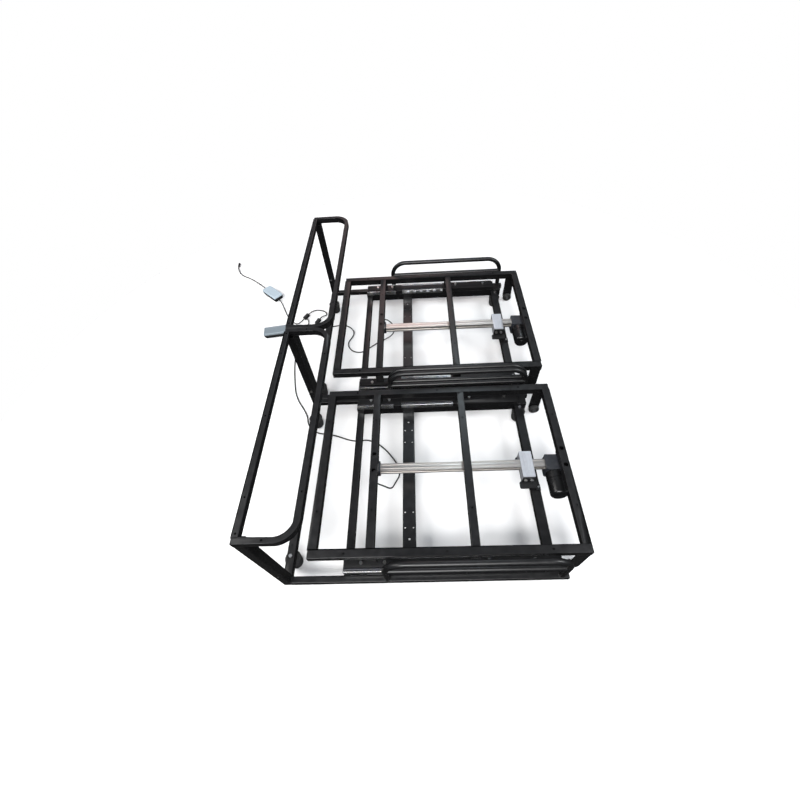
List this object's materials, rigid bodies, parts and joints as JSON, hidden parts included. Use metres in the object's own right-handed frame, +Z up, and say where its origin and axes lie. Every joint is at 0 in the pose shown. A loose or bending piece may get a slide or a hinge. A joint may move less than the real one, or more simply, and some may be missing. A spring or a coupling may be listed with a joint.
{
  "type": "adjustable bed base",
  "caption": "Twin-module powered bed base: low steel platforms slide out on flat ball slides, each driven by a screw actuator, with a raised ledge frame behind.",
  "frame": {"origin": "on the floor, under the middle of the box that holds the steelwork of both modules", "axes": "+X is the way the platforms slide out, +Y runs from the near module to the far module, +Z up"},
  "size_m": [1.4907, 1.7405, 0.445],
  "materials": {
    "frame_paint": "gloss black paint",
    "foot_rubber": "matt black",
    "zinc": "bright zinc plate",
    "black_steel": "satin black",
    "bronze_nut": "machined",
    "alloy": "satin cast",
    "rail_alloy": "extruded, satin",
    "black_plastic": "moulded",
    "motor_paint": "satin black",
    "ball_steel": "polished",
    "screw_steel": "rolled thread",
    "wheel_plastic": "black nylon",
    "box_plastic": "blue-grey shell",
    "plug_plastic": "black",
    "lead_sheath": "black sheath"
  },
  "bodies": {
    "base": {"near_base_frame": "frame_paint", "near_cross_plate": "frame_paint", "near_rubber_feet": "foot_rubber", "near_base_bolts": "zinc", "near_side_beams": "frame_paint", "near_shelf_frame": "frame_paint", "near_shelf_posts": "frame_paint", "near_side_hoops": "frame_paint", "near_outer_slide_rails": "zinc", "near_drive_nut": "bronze_nut", "near_slider_block": "alloy", "near_slider_bracket": "frame_paint", "far_base_frame": "frame_paint", "far_cross_plate": "frame_paint", "far_rubber_feet": "foot_rubber", "far_base_bolts": "zinc", "far_side_beams": "frame_paint", "far_shelf_frame": "frame_paint", "far_shelf_posts": "frame_paint", "far_side_hoops": "frame_paint", "far_outer_slide_rails": "zinc", "far_drive_nut": "bronze_nut", "far_slider_block": "alloy", "far_slider_bracket": "frame_paint", "power_supply": "box_plastic", "battery_pack": "box_plastic", "lead_connectors": "plug_plastic", "lead_end_plug": "plug_plastic", "mains_lead": "lead_sheath", "supply_lead": "lead_sheath", "link_lead": "lead_sheath", "box_lead": "lead_sheath", "far_motor_lead": "lead_sheath", "near_motor_lead": "lead_sheath"},
    "near_platform": {"near_platform_frame": "frame_paint", "near_platform_bolts": "zinc", "near_leg_plates": "frame_paint", "near_slide_brackets": "black_steel", "near_inner_slide_rails": "black_steel", "near_actuator_rail": "rail_alloy", "near_gear_housing": "black_plastic", "near_motor": "motor_paint", "near_rear_mount": "black_plastic"},
    "near_runners": {"near_middle_slide_rails": "zinc", "near_ball_strips": "ball_steel"},
    "near_screw": {"near_lead_screw": "screw_steel"},
    "near_wheels": {"near_floor_wheels": "wheel_plastic"},
    "far_platform": {"far_platform_frame": "frame_paint", "far_platform_bolts": "zinc", "far_leg_plates": "frame_paint", "far_slide_brackets": "black_steel", "far_inner_slide_rails": "black_steel", "far_actuator_rail": "rail_alloy", "far_gear_housing": "black_plastic", "far_motor": "motor_paint", "far_rear_mount": "black_plastic"},
    "far_runners": {"far_middle_slide_rails": "zinc", "far_ball_strips": "ball_steel"},
    "far_screw": {"far_lead_screw": "screw_steel"},
    "far_wheels": {"far_floor_wheels": "wheel_plastic"}
  },
  "joints": [
    {"name": "near_platform_slide", "type": "slide", "parent": "base", "child": "near_platform", "axis": [1, 0, 0], "range_m": [0, 0.44]},
    {"name": "near_runner_slide", "type": "slide", "parent": "base", "child": "near_runners", "axis": [1, 0, 0], "range_m": [0, 0.22]},
    {"name": "near_screw_turn", "type": "hinge", "parent": "near_platform", "child": "near_screw", "pos_m": [0.111, -0.3425, 0.114], "axis": [1, 0, 0], "range_deg": [0, 15850]},
    {"name": "near_wheel_roll", "type": "hinge", "parent": "near_platform", "child": "near_wheels", "pos_m": [0.423, -0.3425, 0.02], "axis": [0, 1, 0], "range_deg": [0, 1265]},
    {"name": "far_platform_slide", "type": "slide", "parent": "base", "child": "far_platform", "axis": [1, 0, 0], "range_m": [0, 0.44]},
    {"name": "far_runner_slide", "type": "slide", "parent": "base", "child": "far_runners", "axis": [1, 0, 0], "range_m": [0, 0.22]},
    {"name": "far_screw_turn", "type": "hinge", "parent": "far_platform", "child": "far_screw", "pos_m": [0.111, 0.3425, 0.114], "axis": [1, 0, 0], "range_deg": [0, 15850]},
    {"name": "far_wheel_roll", "type": "hinge", "parent": "far_platform", "child": "far_wheels", "pos_m": [0.423, 0.3425, 0.02], "axis": [0, 1, 0], "range_deg": [0, 1265]}
  ],
  "couplings": [
    {"joint": "near_runner_slide", "follows": "near_platform_slide", "ratio": 0.5},
    {"joint": "near_screw_turn", "follows": "near_platform_slide", "rad_per_m": 628.32},
    {"joint": "near_wheel_roll", "follows": "near_platform_slide", "rad_per_m": 50},
    {"joint": "far_runner_slide", "follows": "far_platform_slide", "ratio": 0.5},
    {"joint": "far_screw_turn", "follows": "far_platform_slide", "rad_per_m": 628.32},
    {"joint": "far_wheel_roll", "follows": "far_platform_slide", "rad_per_m": 50}
  ]
}
